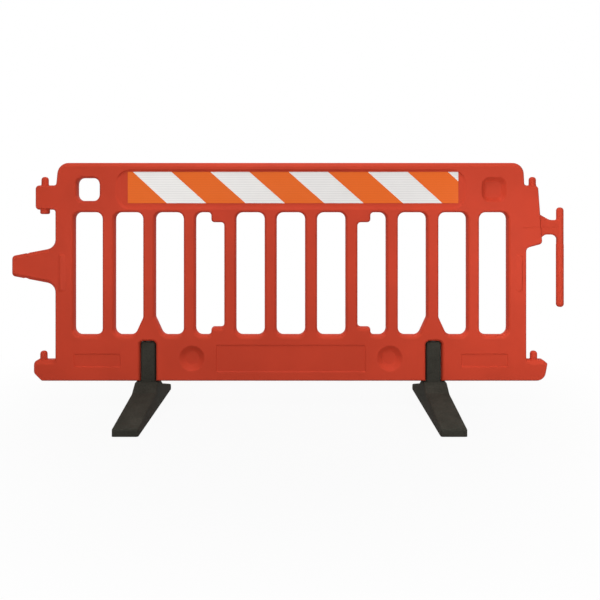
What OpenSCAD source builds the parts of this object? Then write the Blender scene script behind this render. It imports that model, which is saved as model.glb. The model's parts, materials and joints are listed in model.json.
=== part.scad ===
// Pedestrian barrier panel: one drafted moulding with a row of openings, on two swivel feet.
// X runs along the panel, the shown face looks to -Y, Z is up from the floor.
// The origin is on the floor, midway along the whole length and along the feet.

/* [Panel] */
// Width of the panel between its end faces, mm
panel_w = 1930; // [1800:10:2100]
// Height of the top edge above the floor, mm
top_h = 1000; // [960:5:1080]
// Clear height under the bottom edge, mm
ground_gap = 107; // [98:1:120]
// Thickness of the panel, mm
panel_t = 50; // [46:1:60]
// Radius of the two top corners, mm
corner_r = 46; // [36:1:70]
// How much each end face leans in at the top edge, mm
end_taper = 12; // [9:1:16]
// Depth of the eased outer edges, mm
edge_d = 12; // [8:1:13]
// Run of the eased outer edges, mm
edge_run = 7; // [5:1:9]

/* [Openings] */
// Number of tall openings in the row
slot_n = 11; // [9:2:11]
// Width of the solid post at each end, mm
end_post_w = 77; // [72:1:90]
// Width of the bars between openings, mm
bar_w = 50; // [48:1:60]
// Height of the solid skirt below the openings, mm
skirt_h = 189; // [185:1:215]
// Corner radius of an opening, mm
slot_r = 27; // [20:1:34]
// Depth of the rounded flare at each face, mm
flare_d = 21; // [16:1:22]
// Run of the flare at an opening's sides, mm
flare_side = 10; // [6:1:11]
// Run of the flare at an opening's top, mm
flare_top = 7; // [4:1:8]
// Run of the flare at an opening's sill, mm
flare_sill = 16; // [10:1:17]
// Width of the gusset beside each foot's bar, mm
gusset_w = 33; // [26:1:36]
// Height of the gusset beside each foot's bar, mm
gusset_h = 72; // [56:1:84]
// Width of the stepped corners, mm
step_w = 53; // [46:1:56]
// Height of the upper stepped corner, mm
step_top_h = 41; // [36:1:50]
// Height of the lower stepped corner, mm
step_sill_h = 32; // [30:1:40]
// Width of the handhold, mm
hand_w = 92; // [80:1:96]
// Height of the handhold, mm
hand_h = 93; // [80:1:96]

/* [Recesses and dimples] */
// Depth of the recess for the sheeting, mm
recess_d = 7; // [4:0.5:8]
// Width of the square dimple across from the handhold, mm
square_w = 103; // [94:1:108]
// Diameter of the round dimples, mm
dimple_dia = 106; // [90:1:112]
// Depth of all dimples, mm
dimple_d = 17; // [12:1:19]
// Length of the long blank label recess, mm
label_w = 611; // [560:1:620]
// Length of the two short label recesses, mm
tag_w = 192; // [170:1:200]
// Depth of the label recesses, mm
label_d = 3; // [2:0.5:4]
// How far the end ribs stand out of each face, mm
rib_raise = 4; // [2:0.5:5]

/* [Linking ends] */
// Reach of the link tongue from the end face, mm
tongue_l = 177; // [165:1:190]
// Height of the tongue at its tip, mm
tongue_tip_h = 82; // [76:1:92]
// Height of the tongue at its root, mm
tongue_root_h = 150; // [136:1:160]
// Diameter of the link rod, mm
rod_dia = 31; // [29:0.5:34]
// Length of the link rod, mm
rod_l = 410; // [380:5:430]
// Gap between the end face and the link rod, mm
rod_gap = 127; // [120:1:136]
// Diameter of the four pegs, mm
peg_dia = 29; // [26:0.5:31]
// Height of a peg above its block or lug, mm
peg_h = 35; // [30:1:40]

/* [Sheeting] */
// Height of the reflective sheet, mm
sheet_h = 128; // [120:1:140]
// Bare margin at each end of the sheet in its recess, mm
sheet_margin = 41; // [40:1:60]
// How far the sheet is stuck on to the right of the middle, mm
sheet_shift = 9; // [-12:1:12]
// Level width of one stripe, mm
stripe_w = 161; // [120:1:170]
// Lean of the stripes from upright, degrees
stripe_lean = 47; // [40:1:50]

/* [Feet] */
// Reach of a foot in front of the panel's middle plane, mm
foot_front = 362; // [330:2:390]
// Reach of a foot behind the panel's middle plane, mm
foot_rear = 250; // [220:5:300]
// Width of a foot, mm
foot_w = 96; // [90:1:106]
// Thickness of a foot at its front end, mm
toe_h = 28; // [24:1:34]
// Thickness of a foot at its rear end, mm
heel_h = 23; // [20:1:30]
// Width of a foot's post, mm
post_w = 60; // [56:1:64]
// Depth of a foot's post, mm
post_d = 30; // [28:1:34]
// Gap that a post keeps to its pocket's walls as it turns, mm
swing_gap = 1.5; // [1:0.1:3]
// Solid web between a pocket's roof and the openings' sill level, mm
pocket_web = 26; // [24:1:32]
// Diameter of the pivot bolt, mm
bolt_dia = 12; // [10:1:14]

/* [Hidden] */
$fn = 64;
quarter_turn = 90;

// Shared fits
overrun = 1;
turn_gap = 0.4;
bolt_gap = 0.4;
snug_gap = 0.05;

// Shapes of an edge, each step [share of its depth gone in from the face, share that the outline draws in]
round_shares = [[0, 1], [0.1, 0.55], [0.36, 0.2], [1, 0]];
eased_shares = [[0, 1], [0.15, 0.72], [0.8, 0.12], [1, 0]];

// Shape of a soft bowl's wall, each step [share of the depth, share of the run]
bowl_shares = [[0, 0], [0.1, 0.14], [0.46, 0.4], [0.82, 0.68], [1, 1]];
least_r = 2;
corner_over = 3;

// Recess for the sheeting, with the run of its sloping walls
recess_r = 63;
recess_floor_r = 20;
recess_sill_run = 18;
recess_side_run = 24;
recess_top_run = 6;
sheet_top_margin = 10.5;
sheet_sill_margin = 26.5;
recess_h = sheet_h + sheet_top_margin + sheet_sill_margin;
rail_above = 26.5;
rail_below = 11;
band_z = top_h - rail_above - recess_h / 2;

// Openings
half_w = panel_w / 2;
half_t = panel_t / 2;
slot_pitch = (panel_w - 2 * end_post_w + bar_w) / slot_n;
slot_w = slot_pitch - bar_w;
slot_low = ground_gap + skirt_h;
slot_high = band_z - recess_h / 2 - rail_below;
last_slot = (slot_n - 1) / 2;
end_column = last_slot * slot_pitch;
gusset_r = 20;
step_slot_n = 2;
step_r = 13;
narrow_r = min(slot_r, slot_w - step_w - step_r - least_r);
hand_r = 26;
hand_flare = 9;
recess_clear = 67;
recess_w = 2 * (end_column - hand_w / 2 - recess_clear);

// Feet and their pivots
foot_bar_n = 4;
gusset_slots = [foot_bar_n - 1, foot_bar_n];
post_edge_r = 8;
swing_r = norm([post_w / 2 - post_edge_r, post_d / 2 - post_edge_r]) + post_edge_r;
pocket_out = 4;
pocket_x = (2 * foot_bar_n - 1) * slot_pitch / 2 + pocket_out;
pocket_w = 2 * (swing_r + swing_gap);
pocket_top = slot_low - pocket_web;
pocket_r = 15;
pocket_flare = 10;
thrust_t = 2;
thrust_r = 13;
post_top = pocket_top - snug_gap - thrust_t - turn_gap;
post_top_r = 11;
post_root = 30;
hub_gap = 3;
hub_top = ground_gap - hub_gap;
hub_land = 11;
hub_half = post_d / 2 + hub_land;
hub_r = 5;
shoulder_y = 76;
shoulder_share = 0.7;
shoulder_h = hub_top * shoulder_share;
shoulder_r = 12;
toe_r = 8;
foot_edge_r = 7;
base_out = 4;
bolt_r = bolt_dia / 2;
seat_drop = 21;
seat_z = hub_top - seat_drop;
seat_wall = 9;
washer_lip = 6;
washer_t = 2.5;
head_lip = 4.4;
head_h = 7.5;
bolt_seat = seat_z - turn_gap - washer_t - snug_gap;
bolt_end = 1.2;
bolt_into_insert = 34;
insert_wall = 4;
insert_l = 40;

// Dimples, label recesses and end ribs
square_run = 20;
square_r = 32;
dimple_floor_share = 0.5;
dimple_run = dimple_dia * (1 - dimple_floor_share) / 2;
bowl_fn = 48;
label_margin = 38;
label_h = 112;
label_run = 3;
label_r = 6;
label_z = ground_gap + label_margin + label_h / 2;
dimple_clear = 45.5;
dimple_x = label_w / 2 + dimple_clear + dimple_dia / 2;
tag_h = 55;
tag_drop = 8;
tag_x = (pocket_x + pocket_w / 2 + half_w) / 2;
rib_in = 32;
rib_w = 28;
rib_h = 156;
rib_drop = 27;
rib_r = 5;
rib_low_run = 12;
rib_inner_run = 17;
rib_top_run = 8;
rib_outer_run = 5;
rib_runs = [rib_low_run, rib_inner_run, rib_top_run, rib_outer_run];

// Blocks, lugs and pegs, with the runs of the edges that are rounded further in
block_drop = 92;
block_top = top_h - block_drop;
block_h = 100;
block_out = 81;
block_r = edge_d + corner_over;
block_cut = 10;
cut_r = 6;
crotch_r = 9;
left_lean = 3;
right_lean = 8;
lug_h = 86;
lug_left = 88;
lug_left_cut = 32;
lug_left_r = 20;
lug_right = 87;
lug_right_low = 74;
lug_right_cut = 18;
lug_right_cut_h = 15;
lug_low_r = 38;
top_run = 16;
lug_run = 17;
cut_run = 13;
tongue_run = 14;
upper_left_out = 47;
upper_right_out = 29;
lower_left_out = 52;
lower_right_out = 34;
peg_spots = [
    [-half_w - upper_left_out, block_top],
    [half_w + upper_right_out, block_top],
    [-half_w - lower_left_out, ground_gap + lug_h],
    [half_w + lower_right_out, ground_gap + lug_h],
];
peg_root = 24;
peg_crown = 12;
peg_collar = 1.2;
peg_collar_h = 3;
stub_dia = 38;
stub_drop = 18;
stub_crown = 6;

// Tongue, link rod and its arm, all set from the level of the tongue
link_rise = 31;
link_z = (slot_low + slot_high) / 2 + link_rise;
tongue_root_r = 40;
socket_out = 118;
socket_gap = 1.5;
rod_r = rod_dia / 2;
rod_x = half_w + rod_gap + rod_r;
rod_rise = 240;
rod_top = link_z + rod_rise;
rod_crown = 13;
rod_neck = 0.8;
rod_neck_clear = 6;
rod_block_out = 49;
rod_block_lean = 17;
rod_block_rise = 91;
rod_block_drop = 18;
rod_block_low = link_z + rod_block_rise;
arm_low_rise = 128;
arm_high_rise = 188;
arm_low = link_z + arm_low_rise;
arm_high = link_z + arm_high_rise;
arm_edge_r = 7;
arm_root = 34;
rod_neck_z = arm_low - arm_root - rod_neck_clear;
arm_set = 2;
arm_t = panel_t - 2 * (edge_d + arm_set);
arm_flare = 20;
arm_arch_r = 24;
arm_arch_out = 79;
arm_into_rod = rod_r - arm_edge_r / 2;
arm_rod_r = 9;

// Sheeting
film_t = 0.5;
stripe_t = 0.25;
sheet_l = recess_w - 2 * sheet_margin;
sheet_z = band_z + recess_h / 2 - sheet_top_margin - sheet_h / 2;
sheet_y = half_t - recess_d + snug_gap;
stripe_run = sheet_h * tan(stripe_lean);
stripe_start = 22.5;
stripe_pairs = ceil(sheet_l / stripe_w / 2);

// Shift that brings the middle of the whole length and of the feet to the origin
frame_x = (tongue_l - rod_gap - rod_dia) / 2;
frame_y = (foot_front - foot_rear) / 2;

panel_red = [0.79, 0.25, 0.17];
stripe_orange = [0.87, 0.41, 0.17];
film_white = [0.91, 0.90, 0.89];
foot_black = [0.20, 0.19, 0.17];
zinc = [0.72, 0.73, 0.74];
brass = [0.76, 0.63, 0.34];
nylon = [0.13, 0.13, 0.13];

// Outlines are lists of corners [x, z, radius, run of the edge that leaves it], anticlockwise,
// where a fifth value sets the radius of the corner when it is fully drawn in.
// Drawing an outline in by a share of its runs gives the rings of a drafted or rounded solid.
function unit(v) = v / norm(v);
function inward(a, b) = unit([a[1] - b[1], b[0] - a[0]]);
function around(list, i) = list[(i + len(list)) % len(list)];
function drawn_in(c, i, share) =
    let (
        before = around(c, i - 1),
        here = around(c, i),
        u = inward(before, here),
        v = inward(here, around(c, i + 1)),
        skew = u * v,
        du = share * before[3],
        dv = share * here[3]
    )
    [here[0], here[1]] + (u * (du - skew * dv) + v * (dv - skew * du)) / (1 - skew * skew);
function drawn_in_r(c, i, bend) =
    len(c[i]) > 4 ? c[i][4] : c[i][2] - bend * (around(c, i - 1)[3] + c[i][3]) / 2;
function arc_steps(r) = min(8, max(2, round(sqrt(r))));
function on_circle(r, angle) = r * [cos(angle), sin(angle)];
function fillet(c, i, share) =
    let (
        here = drawn_in(c, i, share),
        to_before = unit(drawn_in(c, i - 1, share) - here),
        to_after = unit(drawn_in(c, i + 1, share) - here),
        bend = cross(to_after, to_before) > 0 ? 1 : -1,
        half = acos(to_before * to_after) / 2,
        r = max(least_r, (1 - share) * c[i][2] + share * drawn_in_r(c, i, bend)),
        steps = arc_steps(c[i][2]),
        middle = here + unit(to_before + to_after) * r / sin(half),
        first = here + to_before * r / tan(half) - middle,
        last = here + to_after * r / tan(half) - middle,
        start = atan2(first[1], first[0]),
        sweep = (atan2(last[1], last[0]) - start + 6 * quarter_turn) % (4 * quarter_turn) - 2 * quarter_turn
    )
    [for (k = [0:steps]) middle + on_circle(r, start + sweep * k / steps)];
function ring(c, share) =
    [for (i = [0:len(c) - 1]) each c[i][2] == 0 ? [drawn_in(c, i, share)] : fillet(c, i, share)];
function with_run(c, run) = [for (p = c) [p[0], p[1], p[2], run]];
function flipped(c) =
    [for (i = [len(c) - 1:-1:0]) [-c[i][0], c[i][1], c[i][2], around(c, i - 1)[3]]];
function with_floor_r(c, r) = [for (p = c) concat(p, [r])];
function same_runs(run) = [run, run, run, run];
function block(w, low, high, r, runs) = [
    [-w / 2, low, r, runs[0]],
    [w / 2, low, r, runs[1]],
    [w / 2, high, r, runs[2]],
    [-w / 2, high, r, runs[3]],
];

// Steps along Y, each [y, share]
function edged_steps(thick, depth, shares) = concat(
    [for (s = shares) [depth * s[0] - thick / 2, s[1]]],
    [for (i = [len(shares) - 1:-1:0]) [thick / 2 - depth * shares[i][0], shares[i][1]]]
);
function sunk_steps(depth) = [[-half_t - overrun, -overrun / depth], [depth - half_t, 1]];
bowl_lip = bowl_shares[1][1] / bowl_shares[1][0] * overrun;
function bowl_steps(depth) = concat(
    [[-half_t - overrun, -bowl_lip / depth]],
    [for (i = [1:len(bowl_shares) - 1]) [depth * bowl_shares[i][0] - half_t, bowl_shares[i][1]]]
);
function raised_steps(raise) = [[-half_t - raise, 1], [raise - half_t, -1]];
flare_lip = (1 - round_shares[1][1]) / round_shares[1][0] * overrun / flare_d;
flare_steps = concat(
    [[-half_t - overrun, -1 - flare_lip]],
    [for (i = [1:len(round_shares) - 1]) [flare_d * round_shares[i][0] - half_t, -round_shares[i][1]]]
);
flared_steps = concat(
    flare_steps,
    [for (i = [len(flare_steps) - 1:-1:0]) [-flare_steps[i][0], flare_steps[i][1]]]
);

// Triangles that fill a ring, cut off one convex corner at a time
function turn(a, b, c) = cross(b - a, c - a);
function holds(a, b, c, p) = turn(a, b, p) >= 0 && turn(b, c, p) >= 0 && turn(c, a, p) >= 0;
function corner_at(left, i) = [around(left, i - 1), left[i], around(left, i + 1)];
function is_ear(ring, left, t) =
    turn(ring[t[0]], ring[t[1]], ring[t[2]]) > 0
    && len([
        for (k = left)
            if (k != t[0] && k != t[1] && k != t[2] && holds(ring[t[0]], ring[t[1]], ring[t[2]], ring[k])) k
    ]) == 0;
function first_ear(ring, left, i) =
    i == len(left) - 1 || is_ear(ring, left, corner_at(left, i)) ? i : first_ear(ring, left, i + 1);
function without(list, i) = [for (k = [0:len(list) - 1]) if (k != i) list[k]];
function clipped(ring, left) =
    len(left) == 3 ? [left]
    : let (i = first_ear(ring, left, 0))
        concat([corner_at(left, i)], clipped(ring, without(left, i)));
function filled(ring) = clipped(ring, [for (i = [0:len(ring) - 1]) i]);

module loft(corners, steps) {
    rings = [for (s = steps) ring(corners, s[1])];
    n = len(rings[0]);
    far = len(steps) - 1;
    points = [for (i = [0:far]) for (p = rings[i]) [p[0], steps[i][0], p[1]]];
    near_cap = [for (t = filled(rings[0])) [t[2], t[1], t[0]]];
    far_cap = [for (t = filled(rings[far])) t + far * [n, n, n]];
    sides = [
        for (i = [0:far - 1])
            for (j = [0:n - 1])
                let (a = i * n + j, b = i * n + (j + 1) % n)
                    each [[a, b, b + n], [a, b + n, a + n]]
    ];
    polyhedron(points = points, faces = concat(near_cap, sides, far_cap));
}

// A round pin with eased ends, standing on Z
function crown_points(r, z, crown, from) =
    let (steps = arc_steps(crown))
        crown == 0 ? [[r, z]]
        : [for (k = [0:steps]) [r - crown, z] + on_circle(crown, from + quarter_turn * k / steps)];
module pin(r, low, high, low_crown, high_crown) {
    rotate_extrude()
        polygon(concat(
            [[0, low]],
            crown_points(r, low + low_crown, low_crown, -quarter_turn),
            crown_points(r, high - high_crown, high_crown, 0),
            [[0, high]]
        ));
}

module washer(low, thick, r, bore_r) {
    translate([0, 0, low])
        difference() {
            cylinder(h = thick, r = r);
            translate([0, 0, -overrun])
                cylinder(h = thick + 2 * overrun, r = bore_r);
        }
}

// Places that repeat
module in_frame() {
    translate([frame_x, frame_y, 0])
        children();
}

module rear_side() {
    rotate([0, 0, 180])
        children();
}

module both_faces() {
    children();
    rear_side()
        children();
}

module both_sides(x) {
    for (side = [-1, 1])
        translate([side * x, 0, 0])
            children();
}

panel_outline = [
    [lug_left_cut - half_w - lug_left, ground_gap, crotch_r, edge_run],
    [half_w + lug_right_low, ground_gap, lug_low_r, edge_run],
    [half_w + lug_right, ground_gap + lug_h - lug_right_cut_h, cut_r, cut_run],
    [half_w + lug_right - lug_right_cut, ground_gap + lug_h, block_r, lug_run],
    [half_w, ground_gap + lug_h, crotch_r, edge_run],
    [half_w, rod_block_low - rod_block_drop, 2 * crotch_r, edge_run],
    [half_w + rod_block_out + rod_block_lean, rod_block_low, block_r, edge_run],
    [half_w + rod_block_out, block_top - block_cut, cut_r, edge_run],
    [half_w + rod_block_out - block_cut, block_top, cut_r, edge_run],
    [half_w - right_lean, block_top, crotch_r, edge_run],
    [half_w - end_taper, top_h, corner_r, top_run],
    [end_taper - half_w, top_h, corner_r, edge_run],
    [left_lean - half_w, block_top, crotch_r, edge_run],
    [-half_w - block_out, block_top, block_r, edge_run],
    [-half_w - block_out, block_top - block_h, block_r, edge_run],
    [-half_w, block_top - block_h, crotch_r, edge_run],
    [-half_w, link_z + tongue_root_h / 2, tongue_root_r, tongue_run],
    [-half_w - tongue_l, link_z + tongue_tip_h / 2, block_r, edge_run],
    [-half_w - tongue_l, link_z - tongue_tip_h / 2, block_r, tongue_run],
    [-half_w, link_z - tongue_root_h / 2, tongue_root_r, edge_run],
    [-half_w, ground_gap + lug_h, crotch_r, lug_run],
    [-half_w - lug_left, ground_gap + lug_h, lug_left_r, edge_run],
    [-half_w - lug_left, ground_gap + lug_left_cut, lug_left_r, edge_run],
];

arm_outline = with_run([
    [half_w + arm_root - arm_flare, rod_block_low + arm_flare, 0],
    [half_w + rod_block_out - arm_flare / 2, rod_block_low, 0],
    [half_w + arm_arch_out, arm_low, arm_arch_r],
    [rod_x - arm_into_rod, arm_low, arm_arch_r],
    [rod_x - arm_into_rod, arm_low - arm_root, 0],
    [rod_x + arm_edge_r, arm_low - arm_root, 0],
    [rod_x + arm_edge_r, arm_high + arm_flare, 0],
    [rod_x - arm_into_rod, arm_high + arm_flare, 0],
    [rod_x - arm_into_rod, arm_high, arm_rod_r],
    [half_w + arm_arch_out + arm_flare, arm_high, tongue_root_r],
    [half_w + rod_block_out - arm_flare / 2, arm_high + arm_root, 0],
    [half_w + arm_root - arm_flare, arm_high, 0],
], arm_edge_r);

// Openings of the row, counted from the middle one
plain_slot = block(slot_w, slot_low, slot_high, slot_r, [flare_sill, flare_side, flare_top, flare_side]);
gusset_slot = [
    plain_slot[0],
    [slot_w / 2 - gusset_w, slot_low, slot_r, flare_side],
    [slot_w / 2, slot_low + gusset_h, gusset_r, flare_side],
    plain_slot[2],
    plain_slot[3],
];
step_slot = [
    [-slot_w / 2, slot_low, narrow_r, flare_sill],
    [slot_w / 2 - step_w, slot_low, step_r, flare_side],
    [slot_w / 2 - step_w, slot_low + step_sill_h, step_r, flare_sill],
    [slot_w / 2, slot_low + step_sill_h, step_r, flare_side],
    [slot_w / 2, slot_high - step_top_h, step_r, flare_top],
    [slot_w / 2 - step_w, slot_high - step_top_h, step_r, flare_side],
    [slot_w / 2 - step_w, slot_high, step_r, flare_top],
    [-slot_w / 2, slot_high, narrow_r, flare_side],
];
function slot_outline(k) =
    k == -gusset_slots[1] || k == gusset_slots[0] ? gusset_slot
    : k == -gusset_slots[0] || k == gusset_slots[1] ? flipped(gusset_slot)
    : k == -step_slot_n ? step_slot
    : k == step_slot_n ? flipped(step_slot)
    : plain_slot;

pocket_outline = [
    [-pocket_w / 2, ground_gap - edge_d, 0, 0],
    [pocket_w / 2, ground_gap - edge_d, 0, pocket_flare],
    [pocket_w / 2, pocket_top, pocket_r, pocket_flare],
    [-pocket_w / 2, pocket_top, pocket_r, pocket_flare],
];

module row_of_openings() {
    for (k = [-last_slot:last_slot])
        translate([k * slot_pitch, 0, 0])
            loft(slot_outline(k), flared_steps);
    translate([-end_column, 0, band_z])
        loft(block(hand_w, -hand_h / 2, hand_h / 2, hand_r, same_runs(hand_flare)), flared_steps);
}

module sunk(x, z, w, h, r, runs, depth) {
    translate([x, 0, z])
        loft(block(w, -h / 2, h / 2, r, runs), sunk_steps(depth));
}

bowl_side = [for (s = bowl_steps(dimple_d)) [dimple_dia / 2 - dimple_run * s[1], s[0] + half_t]];
recess_runs = [recess_sill_run, recess_side_run, recess_top_run, recess_side_run];
recess_outline = block(recess_w, -recess_h / 2, recess_h / 2, recess_r, recess_runs);

// Recesses that are alike on both faces
module face_recesses() {
    translate([0, 0, band_z])
        loft(with_floor_r(recess_outline, recess_floor_r), bowl_steps(recess_d));
    sunk(0, label_z, label_w, label_h, label_r, same_runs(label_run), label_d);
    both_sides(tag_x)
        sunk(0, label_z - tag_drop, tag_w, tag_h, label_r, same_runs(label_run), label_d);
    both_sides(dimple_x)
        translate([0, -half_t, label_z])
            rotate([-quarter_turn, 0, 0])
                rotate_extrude($fn = bowl_fn)
                    polygon(concat([[0, -overrun]], bowl_side, [[0, dimple_d]]));
}

square_outline = block(square_w, -square_w / 2, square_w / 2, square_r, same_runs(square_run));

module square_dimples() {
    translate([end_column, 0, 0])
        both_faces()
            translate([0, 0, band_z])
                loft(square_outline, bowl_steps(dimple_d));
}

module foot_pockets() {
    both_sides(pocket_x) {
        loft(pocket_outline, flared_steps);
        translate([0, 0, pocket_top - overrun])
            cylinder(h = insert_l + snug_gap + overrun, r = bolt_r + insert_wall + snug_gap);
    }
}

// Upright hole in the tongue that a neighbouring panel's link rod drops through
module link_socket() {
    translate([-half_w - socket_out, 0, link_z - tongue_root_h / 2])
        cylinder(h = tongue_root_h, r = rod_r + socket_gap);
}

module link_rod() {
    loft(arm_outline, edged_steps(arm_t, arm_edge_r, round_shares));
    translate([rod_x, 0, 0]) {
        pin(rod_r, rod_top - rod_l, rod_neck_z, rod_crown, 0);
        pin(rod_r - rod_neck, rod_neck_z - rod_neck_clear, rod_top, 0, rod_crown);
    }
}

module pegs() {
    for (spot = peg_spots)
        translate([spot[0], 0, spot[1]]) {
            pin(peg_dia / 2, -peg_root, peg_h, 0, peg_crown);
            translate([0, 0, -peg_root])
                cylinder(h = peg_root + peg_collar_h, r = peg_dia / 2 + peg_collar);
        }
    translate([-half_w - upper_left_out, 0, block_top - block_h])
        pin(stub_dia / 2, -stub_drop, peg_root, stub_crown, 0);
}

// Ribs that rise towards the panel's ends and drop off there
module end_ribs() {
    outline = block(rib_w, 0, rib_h, rib_r, rib_runs);
    both_faces()
        for (side = [-1, 1])
            translate([side * (half_w - rib_in), 0, link_z - rib_drop - rib_h / 2])
                loft(side < 0 ? outline : flipped(outline), raised_steps(rib_raise));
}

module panel_moulding() {
    color(panel_red)
        in_frame()
            difference() {
                union() {
                    loft(panel_outline, edged_steps(panel_t, edge_d, eased_shares));
                    link_rod();
                    pegs();
                    end_ribs();
                }
                row_of_openings();
                both_faces()
                    face_recesses();
                square_dimples();
                foot_pockets();
                link_socket();
            }
}

// A flat sheet that lies a given lift off the front recess's floor
module sheet_slab(lift, thick) {
    translate([sheet_shift - sheet_l / 2, -sheet_y - lift - thick, sheet_z - sheet_h / 2])
        cube([sheet_l, thick, sheet_h]);
}

module sheet() {
    color(film_white)
        sheet_slab(0, film_t);
}

// Leaning bands on the sheet, the first one cut by its left edge
module stripes() {
    color(stripe_orange)
        intersection() {
            sheet_slab(film_t + snug_gap, stripe_t);
            for (k = [0:stripe_pairs])
                translate([sheet_shift - sheet_l / 2 + stripe_start + (2 * k - 1) * stripe_w, 0, sheet_z])
                    rotate([90, 0, 0])
                        linear_extrude(height = panel_t)
                            polygon([
                                [0, sheet_h / 2],
                                [stripe_run, -sheet_h / 2],
                                [stripe_run + stripe_w, -sheet_h / 2],
                                [stripe_w, sheet_h / 2],
                            ]);
        }
}

module front_sheet() {
    in_frame()
        sheet();
}

module front_stripes() {
    in_frame()
        stripes();
}

module rear_sheet() {
    in_frame()
        rear_side()
            sheet();
}

module rear_stripes() {
    in_frame()
        rear_side()
            stripes();
}

// Side view of a foot's ramped base, drawn along Y
foot_profile = [
    [-foot_front, 0, 0, 0],
    [foot_rear, 0, 0, foot_edge_r],
    [foot_rear, heel_h, toe_r, foot_edge_r],
    [shoulder_y, shoulder_h, shoulder_r, foot_edge_r],
    [hub_half, hub_top, hub_r, foot_edge_r],
    [-hub_half, hub_top, hub_r, foot_edge_r],
    [-shoulder_y, shoulder_h, shoulder_r, foot_edge_r],
    [-foot_front, toe_h, toe_r, foot_edge_r],
];
post_outline = [
    [-post_w / 2, hub_top - post_root, 0, 0],
    [post_w / 2, hub_top - post_root, 0, post_edge_r],
    [post_w / 2, post_top, post_top_r, post_edge_r],
    [-post_w / 2, post_top, post_top_r, post_edge_r],
];

// A swivel foot: ramped base a little outside its upright post, and a stepped bore for the pivot bolt
module foot(side) {
    color(foot_black)
        difference() {
            union() {
                translate([side * base_out, 0, 0])
                    rotate([0, 0, quarter_turn])
                        loft(foot_profile, edged_steps(foot_w, foot_edge_r, round_shares));
                loft(post_outline, edged_steps(post_d, post_edge_r, round_shares));
            }
            translate([0, 0, -overrun])
                cylinder(h = seat_z + overrun, r = bolt_r + seat_wall);
            cylinder(h = post_top + overrun, r = bolt_r + bolt_gap);
        }
}

module left_foot() {
    in_frame()
        translate([-pocket_x, 0, 0])
            foot(-1);
}

module right_foot() {
    in_frame()
        translate([pocket_x, 0, 0])
            foot(1);
}

// Bolts that come up through the posts and turn into the inserts in the pockets' roofs
module pivot_bolts() {
    color(zinc)
        in_frame()
            both_sides(pocket_x) {
                translate([0, 0, bolt_seat - head_h])
                    cylinder(h = head_h, r = bolt_r + head_lip, $fn = 6);
                pin(bolt_r, bolt_seat - head_h / 2, pocket_top + bolt_into_insert, 0, bolt_end);
            }
}

module threaded_inserts() {
    color(brass)
        in_frame()
            both_sides(pocket_x)
                washer(pocket_top, insert_l, bolt_r + insert_wall, bolt_r + snug_gap);
}

module head_washers() {
    color(zinc)
        in_frame()
            both_sides(pocket_x)
                washer(bolt_seat + snug_gap, washer_t, bolt_r + washer_lip, bolt_r + bolt_gap);
}

module thrust_washers() {
    color(nylon)
        in_frame()
            both_sides(pocket_x)
                washer(post_top + turn_gap, thrust_t, thrust_r, bolt_r + bolt_gap);
}

panel_moulding();
front_sheet();
front_stripes();
rear_sheet();
rear_stripes();
left_foot();
right_foot();
pivot_bolts();
threaded_inserts();
head_washers();
thrust_washers();
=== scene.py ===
"""Studio scene of a moulded pedestrian barrier panel on two swivelling rubber feet."""
import json
from math import radians

import bmesh
import bpy
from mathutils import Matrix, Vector


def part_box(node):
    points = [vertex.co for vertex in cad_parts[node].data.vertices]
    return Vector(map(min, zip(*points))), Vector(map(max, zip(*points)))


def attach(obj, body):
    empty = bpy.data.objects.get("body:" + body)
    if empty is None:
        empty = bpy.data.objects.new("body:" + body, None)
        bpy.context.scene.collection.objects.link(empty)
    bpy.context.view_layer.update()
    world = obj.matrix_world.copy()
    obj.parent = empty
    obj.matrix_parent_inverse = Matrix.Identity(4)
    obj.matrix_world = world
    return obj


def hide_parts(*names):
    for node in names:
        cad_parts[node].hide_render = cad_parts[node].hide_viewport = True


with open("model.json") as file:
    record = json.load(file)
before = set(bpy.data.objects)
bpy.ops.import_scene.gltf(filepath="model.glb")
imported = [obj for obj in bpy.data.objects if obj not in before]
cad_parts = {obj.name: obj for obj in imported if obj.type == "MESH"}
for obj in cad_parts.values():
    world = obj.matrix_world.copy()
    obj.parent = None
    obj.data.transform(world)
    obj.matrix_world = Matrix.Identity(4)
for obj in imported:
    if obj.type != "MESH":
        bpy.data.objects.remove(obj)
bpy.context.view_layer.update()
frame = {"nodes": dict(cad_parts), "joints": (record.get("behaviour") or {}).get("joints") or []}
nodes = frame["nodes"]

# Sizes and places are in metres, and come from the frame where it gives them
panel_low, panel_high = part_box("panel_moulding")
panel_middle_y = (panel_low.y + panel_high.y) / 2

# Camera of the photograph: level, with the picture shifted down so that uprights stay upright
EYE = Vector((0.047, -2.676, 0.839))
LENS = 39.8
SENSOR = 36.0
PICTURE_SHIFT = -0.163

# Eased edges of the solids: the bevel's width and steps
PANEL_EASE = 0.0014
FOOT_EASE = 0.0020
METAL_EASE = 0.0004
EASE_STEPS = 2

# Least fold that is eased, and the lesser one beside a face whose normal lies along Y
SHARP_FOLD = radians(38)
RIM_FOLD = radians(7)
ALONG_Y = 0.9995

# Folds that are dissolved as flat and shaded as smooth, and the distance at which two points are one
FLAT_FOLD = radians(0.5)
SMOOTH_FOLD = radians(50)
SAME_POINT = 0.00002

# Pocket in the skirt as the source makes it: half its width and the radius of its upper corners
POCKET_HALF_WIDTH = 0.03259
POCKET_CORNER = 0.015

# Fins on a post's shoulders, dark stand-ins for the shade in the pocket's upper corners: gap to the pocket,
# inner end, thickness, height and steps of the corner
FIN_GAP = 0.0006
FIN_START = 0.0145
FIN_THICKNESS = 0.003
FIN_HEIGHT = 0.030
FIN_CORNER_STEPS = 8

# Print on the front sheeting: how far the stripes' upper ends lean in the middle, and where that dies out
STRIPE_LEAN = 0.0085
STRIPE_LEAN_END = 0.70

# Detail of the noise in fine grain, in soft clouds and in dust
GRAIN_DETAIL = 2.0
CLOUD_DETAIL = 3.0
DUST_DETAIL = 4.0

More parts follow.
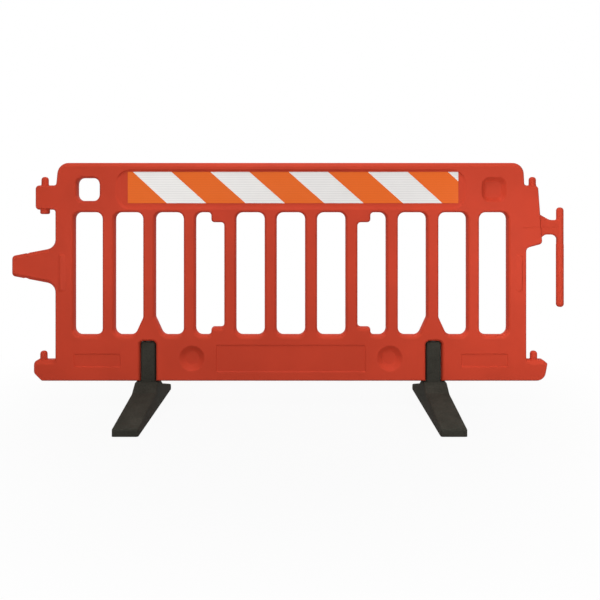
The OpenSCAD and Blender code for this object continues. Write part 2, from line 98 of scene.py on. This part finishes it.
# Panel plastic: the sizes of its patterns and the noise between which the mottle turns
MOTTLE_SIZE = 0.22
MOTTLE_LOW, MOTTLE_HIGH = 0.35, 0.65
MOULD_GRAIN = 0.0011
MOULD_PEEL = 0.011
SEAM_HALF_WIDTH = 0.0009

# Shallow groove along the rod's arm: its level, its ends and half its width
GROOVE_Z = 0.7352
GROOVE_START, GROOVE_END = 0.953, 1.101
GROOVE_HALF_WIDTH = 0.0035

# Panel plastic: the bump's depth and each pattern's share of it, the roughness, and the specular level
PANEL_RELIEF = 0.0006
GRAIN_RISE, PEEL_RISE, SEAM_RISE, GROOVE_DROP = 0.06, 0.22, 0.5, 1.6
PANEL_ROUGHNESS, MOTTLE_ROUGHNESS, GRAIN_ROUGHNESS = 0.46, 0.06, 0.08
PANEL_SPECULAR = 0.06

# Sheeting: its lines' pitch, where a line starts and is full, its cells, blotches, and where the painted
# shade along X starts and ends
LINE_PITCH = 0.0095
LINE_START, LINE_FULL = 0.55, 0.95
CELL_SIZE = 0.0016
BLOTCH_SIZE = 0.05
PAINTED_SHADE_START, PAINTED_SHADE_END = -0.7, 0.7

# Sheeting: how much of the line's colour each pattern and the painted shade bring, the bump, the roughness
# and the specular level
LINE_SHARE, CELL_SHARE, BLOTCH_SHARE, PAINTED_SHADE_SHARE = 0.40, 0.20, 0.15, 0.50
FILM_RELIEF = 0.00015
CELL_RISE = 0.4
FILM_ROUGHNESS, BLOTCH_ROUGHNESS = 0.42, 0.12
FILM_SPECULAR = 0.15

# Rubber: the sizes of crumbs, pores and dust, and the noise between which the dust turns
CRUMB_SIZE = 0.0035
PORE_SIZE = 0.0016
DUST_SIZE = 0.09
DUST_LOW, DUST_HIGH = 0.35, 0.75

# Rubber: how much of the pale colour each pattern brings, the bump, the roughness and the specular level
CRUMB_SHARE, DUST_SHARE = 0.55, 0.45
RUBBER_RELIEF = 0.0003
PORE_RISE = 0.6
RUBBER_ROUGHNESS, DUST_ROUGHNESS, CRUMB_ROUGHNESS = 0.80, 0.1, 0.08
RUBBER_SPECULAR = 0.05

# Turned pieces: the rings' pitch and depth, the dull spots' size and noise, and the roughness
RING_PITCH = 0.0007
RING_RELIEF = 0.00003
SPOT_SIZE = 0.006
SPOT_LOW, SPOT_HIGH = 0.4, 0.7
METAL_ROUGHNESS, SPOT_ROUGHNESS = 0.28, 0.2

# Colours are linear, as the shader takes them
PANEL_RED = (0.550, 0.0540, 0.0253, 1)
PANEL_RED_DEEP = (0.508, 0.0500, 0.0233, 1)
FILM_WHITE = (0.925, 0.910, 0.886, 1)
FILM_WHITE_LINE = (0.650, 0.635, 0.628, 1)
FILM_ORANGE = (0.785, 0.139, 0.0125, 1)
FILM_ORANGE_LINE = (0.690, 0.115, 0.0105, 1)
RUBBER_DARK = (0.0255, 0.0245, 0.0195, 1)
RUBBER_PALE = (0.0550, 0.0530, 0.0430, 1)
ZINC = (0.560, 0.570, 0.580, 1)
ZINC_DULL = (0.420, 0.425, 0.430, 1)
BRASS = (0.560, 0.400, 0.120, 1)
BRASS_DULL = (0.420, 0.290, 0.085, 1)
NYLON = (0.014, 0.014, 0.014, 1)
NYLON_DULL = (0.024, 0.024, 0.023, 1)
FLOOR_GREY = (0.300, 0.300, 0.300, 1)
WHITE = (1, 1, 1, 1)

# Floor: its size and roughness, and how white it is seen, near the object and from there out to all white
FLOOR_SIZE = 60
FLOOR_ROUGHNESS = 0.9
NEAR_WHITE = 0.94
NEAR_FLOOR, FAR_FLOOR = 0.6, 1.8

# Surround: the rays that find it white, and the light that it gives from the front and from behind the object
WHITE_RAYS = ("Is Camera Ray", "Is Glossy Ray", "Is Transmission Ray")
FRONT_LIGHT = 0.32
REAR_LIGHT = 1.2
SIDE, REAR = 0.0, 0.6

# Lamps: name, place, the point that each faces, width and watts
LAMPS = (
    ("high_lamp", (-0.20, -1.00, 3.00), (0.90, 0.05, 0.55), 1.0, 31),
    ("front_lamp", (-0.20, -2.90, 0.80), (0.90, 0.05, 0.55), 0.8, 19),
    ("left_lamp", (-1.00, -1.00, 0.60), (-0.90, 0.05, 0.55), 0.4, 3.0),
    ("right_lamp", (1.08, -1.00, 0.60), (0.92, 0.05, 0.55), 0.4, 5.4),
    ("top_lamp", (0.40, 0.15, 3.30), (0.10, 0.05, 0.60), 1.5, 14),
)


class Value:
    """A shader value in plain arithmetic: each operator adds the Math node that it stands for."""

    def __init__(self, wiring, socket):
        self.wiring = wiring
        self.socket = socket

    def math(self, operation, *others):
        return self.wiring.node("ShaderNodeMath", {"operation": operation}, [self, *others])

    def __add__(self, other):
        return self.math("ADD", other)

    def __mul__(self, other):
        return self.math("MULTIPLY", other)

    def __sub__(self, other):
        return self.math("SUBTRACT", other)

    def __rsub__(self, other):
        return self.wiring.node("ShaderNodeMath", {"operation": "SUBTRACT"}, [other, self])

    def __truediv__(self, other):
        return self.math("DIVIDE", other)

    def __abs__(self):
        return self.math("ABSOLUTE")

    __radd__ = __add__
    __rmul__ = __mul__


class Wiring:
    """The nodes of one material or of the world, and the coordinates that their patterns follow."""

    def __init__(self, tree, coordinates):
        self.tree = tree
        self.place = self.node("ShaderNodeTexCoord", {}, {}, coordinates)

    def node(self, kind, settings, inputs, output=0):
        """Adds one node: its settings first, then the values or links of its sockets."""
        made = self.tree.nodes.new(kind)
        for key, value in settings.items():
            setattr(made, key, value)
        for key, value in inputs.items() if isinstance(inputs, dict) else enumerate(inputs):
            self.feed(made.inputs[key], value)
        return Value(self, made.outputs[output])

    def feed(self, socket, value):
        if isinstance(value, Value):
            self.tree.links.new(value.socket, socket)
        else:
            socket.default_value = value

    def along(self, axis):
        return self.node("ShaderNodeSeparateXYZ", {}, [self.place], axis)

    def step(self, value, low, high):
        """0 below low, 1 above high and smooth between."""
        inputs = {"Value": value, "From Min": low, "From Max": high}
        return self.node("ShaderNodeMapRange", {"interpolation_type": "SMOOTHSTEP"}, inputs)

    def glow(self, kind, strength):
        """White light of one strength, as a lit surface or as a background."""
        return self.node(kind, {}, {"Color": WHITE, "Strength": strength})

    def blend(self, factor, first, second):
        return self.node("ShaderNodeMixShader", {}, [factor, first, second])

    def white_seen(self):
        """1 for the rays that find a white surround, 0 for the light that falls on the object."""
        paths = [self.node("ShaderNodeLightPath", {}, {}, ray) for ray in WHITE_RAYS]
        return paths[0].math("MAXIMUM", paths[1]).math("MAXIMUM", paths[2])


class Finish(Wiring):
    """A procedural material that is built up from Object coordinates."""

    def __init__(self, name):
        self.material = bpy.data.materials.new(name)
        self.material.use_nodes = True
        super().__init__(self.material.node_tree, "Object")
        self.shader = self.tree.nodes["Principled BSDF"]

    def noise(self, size, detail=GRAIN_DETAIL):
        """Soft noise from 0 to 1 whose lumps are about one size wide."""
        inputs = {"Vector": self.place, "Scale": 1 / size, "Detail": detail}
        return self.node("ShaderNodeTexNoise", {}, inputs)

    def cells(self, size, output):
        inputs = {"Vector": self.place, "Scale": 1 / size}
        return self.node("ShaderNodeTexVoronoi", {}, inputs, output)

    def zigzag(self, pitch):
        """Rises and falls along Z between 1 at the ends of each pitch and 0 at its middle."""
        phase = self.along("Z") / pitch
        return abs(2 * phase.math("FRACT") - 1)

    def mix(self, factor, first, second):
        return self.node("ShaderNodeMix", {"data_type": "RGBA"}, {0: factor, 6: first, 7: second}, 2)

    def surface(self, colour, roughness, height=None, depth=0, **constants):
        """Feeds the shader, with height times depth as bump."""
        self.feed(self.shader.inputs["Base Color"], colour)
        self.feed(self.shader.inputs["Roughness"], roughness)
        if height is not None:
            bump = self.node("ShaderNodeBump", {}, {"Height": height, "Distance": depth, "Strength": 1.0})
            self.feed(self.shader.inputs["Normal"], bump)
        for name, value in constants.items():
            self.feed(self.shader.inputs[name.replace("_", " ")], value)
        return self.material


def panel_plastic():
    """Satin moulded polyethylene: a faint mottle, mould grain, orange peel, parting line and arm groove."""
    f = Finish("panel_plastic")
    mottle = f.step(f.noise(MOTTLE_SIZE, CLOUD_DETAIL), MOTTLE_LOW, MOTTLE_HIGH)
    grain = f.noise(MOULD_GRAIN)
    peel = f.noise(MOULD_PEEL)
    seam = 1 - f.step(abs(f.along("Y") - panel_middle_y), SEAM_HALF_WIDTH / 2, SEAM_HALF_WIDTH)
    along_arm = f.step(f.along("X"), GROOVE_START, GROOVE_START + GROOVE_HALF_WIDTH)
    short_of_rod = 1 - f.step(f.along("X"), GROOVE_END - GROOVE_HALF_WIDTH, GROOVE_END)
    groove = (1 - f.step(abs(f.along("Z") - GROOVE_Z), 0, GROOVE_HALF_WIDTH)) * along_arm * short_of_rod
    height = GRAIN_RISE * grain + PEEL_RISE * peel + SEAM_RISE * seam - GROOVE_DROP * groove
    colour = f.mix(mottle, PANEL_RED_DEEP, PANEL_RED)
    roughness = PANEL_ROUGHNESS + MOTTLE_ROUGHNESS * mottle + GRAIN_ROUGHNESS * grain
    return f.surface(colour, roughness, height, PANEL_RELIEF, Specular_IOR_Level=PANEL_SPECULAR)


def film(name, plain, line):
    """Reflective sheeting: level print lines over fine prism cells, with painted shade that darkens it
    towards the rod's end.
    """
    f = Finish(name)
    lines = f.step(f.zigzag(LINE_PITCH), LINE_START, LINE_FULL)
    cells = f.cells(CELL_SIZE, "Distance")
    blotch = f.noise(BLOTCH_SIZE, CLOUD_DETAIL)
    # Painted shade: the sheeting's colour is darker towards the rod's end along X
    painted_shade = f.step(f.along("X"), PAINTED_SHADE_START, PAINTED_SHADE_END)
    shade = LINE_SHARE * lines + CELL_SHARE * cells + BLOTCH_SHARE * blotch + PAINTED_SHADE_SHARE * painted_shade
    colour = f.mix(shade, plain, line)
    roughness = FILM_ROUGHNESS + BLOTCH_ROUGHNESS * blotch
    return f.surface(colour, roughness, CELL_RISE * cells, FILM_RELIEF, Specular_IOR_Level=FILM_SPECULAR)


def foot_rubber():
    """Pressed crumb rubber: dark, with paler crumbs and a dull open face."""
    f = Finish("foot_rubber")
    crumb = f.node("ShaderNodeRGBToBW", {}, [f.cells(CRUMB_SIZE, "Color")])
    edge = f.cells(CRUMB_SIZE, "Distance")
    dust = f.step(f.noise(DUST_SIZE, DUST_DETAIL), DUST_LOW, DUST_HIGH)
    colour = f.mix(CRUMB_SHARE * crumb + DUST_SHARE * dust, RUBBER_DARK, RUBBER_PALE)
    roughness = RUBBER_ROUGHNESS + DUST_ROUGHNESS * dust + CRUMB_ROUGHNESS * crumb
    height = edge + PORE_RISE * f.noise(PORE_SIZE)
    return f.surface(colour, roughness, height, RUBBER_RELIEF, Specular_IOR_Level=RUBBER_SPECULAR)


def turned_metal(name, bright, dull, metallic):
    """Small turned or plated pieces with fine rings along Z and a few dull spots."""
    f = Finish(name)
    spots = f.step(f.noise(SPOT_SIZE, CLOUD_DETAIL), SPOT_LOW, SPOT_HIGH)
    colour = f.mix(spots, bright, dull)
    roughness = METAL_ROUGHNESS + SPOT_ROUGHNESS * spots
    return f.surface(colour, roughness, f.zigzag(RING_PITCH), RING_RELIEF, Metallic=metallic)


def finish_of(piece, material):
    """Gives a piece its material on the object, so that a node's own mesh stays as it was."""
    if not piece.material_slots:
        piece.data.materials.append(None)
    for place in piece.material_slots:
        place.link = "OBJECT"
        place.material = material


def copy_of(node, name):
    """A new object with its own copy of a node's mesh."""
    piece = bpy.data.objects.new(name, nodes[node].data.copy())
    bpy.context.scene.collection.objects.link(piece)
    return piece


def eased(node, name, width, body):
    """A copy of a node's solid with its sharp edges eased and its shading smoothed, which stands for it."""
    bpy.ops.object.select_all(action="DESELECT")
    piece = copy_of(node, name)
    piece.select_set(True)
    bpy.context.view_layer.objects.active = piece
    bpy.ops.object.mode_set(mode="EDIT")
    bpy.ops.mesh.select_all(action="SELECT")
    bpy.ops.mesh.remove_doubles(threshold=SAME_POINT)
    bpy.ops.mesh.dissolve_limited(angle_limit=FLAT_FOLD)
    bpy.ops.mesh.select_all(action="DESELECT")
    shape = bmesh.from_edit_mesh(piece.data)
    for edge in shape.edges:
        fold = edge.calc_face_angle(0)
        rim = any(abs(face.normal.y) > ALONG_Y for face in edge.link_faces)
        edge.select_set(fold > (RIM_FOLD if rim else SHARP_FOLD))
    bmesh.update_edit_mesh(piece.data)
    bpy.ops.mesh.bevel(offset=width, segments=EASE_STEPS, affect="EDGES", clamp_overlap=True)
    bpy.ops.object.mode_set(mode="OBJECT")
    bpy.ops.object.shade_smooth_by_angle(angle=SMOOTH_FOLD)
    even = piece.modifiers.new("even shading", "WEIGHTED_NORMAL")
    even.keep_sharp = True
    bpy.ops.object.modifier_apply(modifier=even.name)
    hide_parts(node)
    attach(piece, body)
    return piece


def post_fin(joint, side, rubber):
    """A thin dark fin on one shoulder of a post, which closes the gap at the pocket's upper corner and stands
    in for the shade there.
    """
    x, y, _ = joint["pos_m"]
    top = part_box("thrust_washers")[1].z - FIN_GAP
    length = POCKET_HALF_WIDTH - FIN_GAP - FIN_START
    middle = x + side * (FIN_START + length / 2)
    bpy.ops.object.select_all(action="DESELECT")
    bpy.ops.mesh.primitive_cube_add(
        size=1, location=(middle, y, top - FIN_HEIGHT / 2), scale=(length, FIN_THICKNESS, FIN_HEIGHT)
    )
    piece = bpy.context.object
    piece.name = joint["child"] + ("_left_fin" if side < 0 else "_right_fin")
    bpy.ops.object.transform_apply(location=True, rotation=True, scale=True)
    bpy.ops.object.mode_set(mode="EDIT")
    bpy.ops.mesh.select_all(action="DESELECT")
    shape = bmesh.from_edit_mesh(piece.data)
    for edge in shape.edges:
        ends = [corner.co for corner in edge.verts]
        if all(end.z > top - SAME_POINT and (end.x - middle) * side > 0 for end in ends):
            edge.select_set(True)
    bmesh.update_edit_mesh(piece.data)
    bpy.ops.mesh.bevel(offset=POCKET_CORNER - FIN_GAP, segments=FIN_CORNER_STEPS, affect="EDGES")
    bpy.ops.object.mode_set(mode="OBJECT")
    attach(piece, joint["child"])
    finish_of(piece, rubber)


def leaned_stripes(orange):
    """A copy of the front stripes that stands for them, its upper ends leaning further in the middle."""
    low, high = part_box("front_stripes")
    film_low, film_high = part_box("front_sheet")
    piece = copy_of("front_stripes", "leaned_front_stripes")
    for corner in piece.data.vertices:
        place = corner.co
        if film_low.x + SAME_POINT < place.x < film_high.x - SAME_POINT:
            share = (place.z - low.z) / (high.z - low.z)
            place.x -= STRIPE_LEAN * share * (1 - (place.x / STRIPE_LEAN_END) ** 2)
    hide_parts("front_stripes")
    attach(piece, "panel")
    finish_of(piece, orange)


def barrier():
    """The panel, its sheeting, its feet and what holds them, each with its finish."""
    red = panel_plastic()
    white = film("white_film", FILM_WHITE, FILM_WHITE_LINE)
    orange = film("orange_film", FILM_ORANGE, FILM_ORANGE_LINE)
    rubber = foot_rubber()
    zinc = turned_metal("zinc_plate", ZINC, ZINC_DULL, 1.0)
    brass = turned_metal("insert_brass", BRASS, BRASS_DULL, 1.0)
    nylon = turned_metal("washer_nylon", NYLON, NYLON_DULL, 0.0)
    finish_of(eased("panel_moulding", "moulded_panel", PANEL_EASE, "panel"), red)
    for foot in ("left_foot", "right_foot"):
        finish_of(eased(foot, foot + "_rubber", FOOT_EASE, foot), rubber)
    for joint in frame["joints"]:
        for side in (-1, 1):
            post_fin(joint, side, rubber)
    finish_of(nodes["front_sheet"], white)
    leaned_stripes(orange)
    finish_of(nodes["rear_sheet"], white)
    finish_of(nodes["rear_stripes"], orange)
    for node, name, material, slot in (
        ("pivot_bolts", "plated_bolts", zinc, "zinc_steel"),
        ("head_washers", "plated_washers", zinc, "zinc_steel"),
        ("threaded_inserts", "brass_inserts", brass, "insert_brass"),
        ("thrust_washers", "nylon_washers", nylon, "washer_nylon"),
    ):
        finish_of(eased(node, name, METAL_EASE, "panel"), material)


def studio_floor():
    """A grey floor that is seen as nearly white, with the object's shadow, and as all white further out."""
    bpy.ops.mesh.primitive_plane_add(size=FLOOR_SIZE, location=(0, 0, 0))
    floor = bpy.context.object
    floor.name = "studio_floor"
    f = Finish("studio_floor")
    f.surface(FLOOR_GREY, FLOOR_ROUGHNESS)
    away = f.node("ShaderNodeVectorMath", {"operation": "LENGTH"}, [f.place], "Value")
    share = NEAR_WHITE + (1 - NEAR_WHITE) * f.step(away, NEAR_FLOOR, FAR_FLOOR)
    grey = Value(f, f.shader.outputs[0])
    shown = f.blend(share * f.white_seen(), grey, f.glow("ShaderNodeEmission", 1.0))
    f.feed(f.tree.nodes["Material Output"].inputs["Surface"], shown)
    floor.data.materials.append(f.material)


def white_surround():
    """A surround that is seen as white and lights the object more from behind than from the front."""
    world = bpy.data.worlds.new("white_surround")
    world.use_nodes = True
    bpy.context.scene.world = world
    w = Wiring(world.node_tree, "Generated")
    front, rear, seen = (w.glow("ShaderNodeBackground", power) for power in (FRONT_LIGHT, REAR_LIGHT, 1.0))
    light = w.blend(w.step(w.along("Y"), SIDE, REAR), front, rear)
    w.feed(w.tree.nodes["World Output"].inputs["Surface"], w.blend(w.white_seen(), light, seen))


def softbox(name, place, aim, size, watts):
    """A square area lamp that faces a point."""
    lamp = bpy.data.lights.new(name, "AREA")
    lamp.shape = "SQUARE"
    lamp.size = size
    lamp.energy = watts
    box = bpy.data.objects.new(name, lamp)
    box.location = place
    box.rotation_mode = "QUATERNION"
    box.rotation_quaternion = (Vector(aim) - Vector(place)).to_track_quat("-Z", "Y")
    bpy.context.scene.collection.objects.link(box)


def studio():
    """The floor, the surround, and soft lamps in front, overhead and towards both ends."""
    studio_floor()
    white_surround()
    for name, place, aim, size, watts in LAMPS:
        softbox(name, place, aim, size, watts)


def camera():
    """A level camera with a shifted picture, as the photograph was taken."""
    lens = bpy.data.cameras.new("camera")
    lens.sensor_width = SENSOR
    lens.lens = LENS
    lens.shift_y = PICTURE_SHIFT
    eye = bpy.data.objects.new("camera", lens)
    eye.location = EYE
    eye.rotation_euler = (radians(90), 0, 0)
    bpy.context.scene.collection.objects.link(eye)
    bpy.context.scene.camera = eye


bpy.context.scene.view_settings.view_transform = "Standard"
camera()
barrier()
studio()
